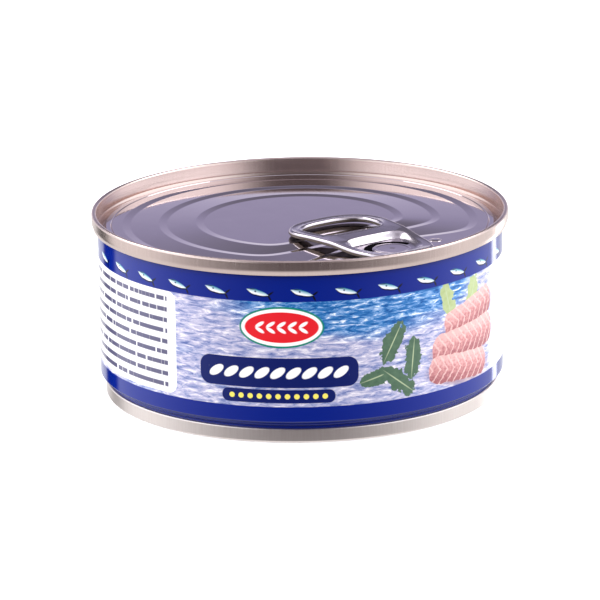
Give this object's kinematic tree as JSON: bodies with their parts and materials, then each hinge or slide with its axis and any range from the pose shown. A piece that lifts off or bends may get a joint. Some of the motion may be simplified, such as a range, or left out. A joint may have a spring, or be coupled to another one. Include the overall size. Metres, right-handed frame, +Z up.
{
  "type": "tuna can",
  "caption": "Low round tinplate food can, shut, with a printed wall, necked stacking base and a stepped easy-open lid with a riveted ring pull.",
  "frame": {"origin": "centre of the circle that the can stands on, at the level of that surface", "axes": "+Z up along the can's axis, -Y towards the front of the print, +X to the right of the front"},
  "size_m": [0.0864, 0.0864, 0.0385],
  "materials": {
    "printed_tinplate": "gloss litho print under clear varnish",
    "lid_metal": "satin tinplate under clear lacquer",
    "pull_metal": "bright rolled tinplate",
    "base_metal": "satin tinplate"
  },
  "bodies": {
    "root": {"can_body": "printed_tinplate", "lid": "lid_metal", "ring_pull": "pull_metal", "base_end": "base_metal"}
  },
  "joints": []
}
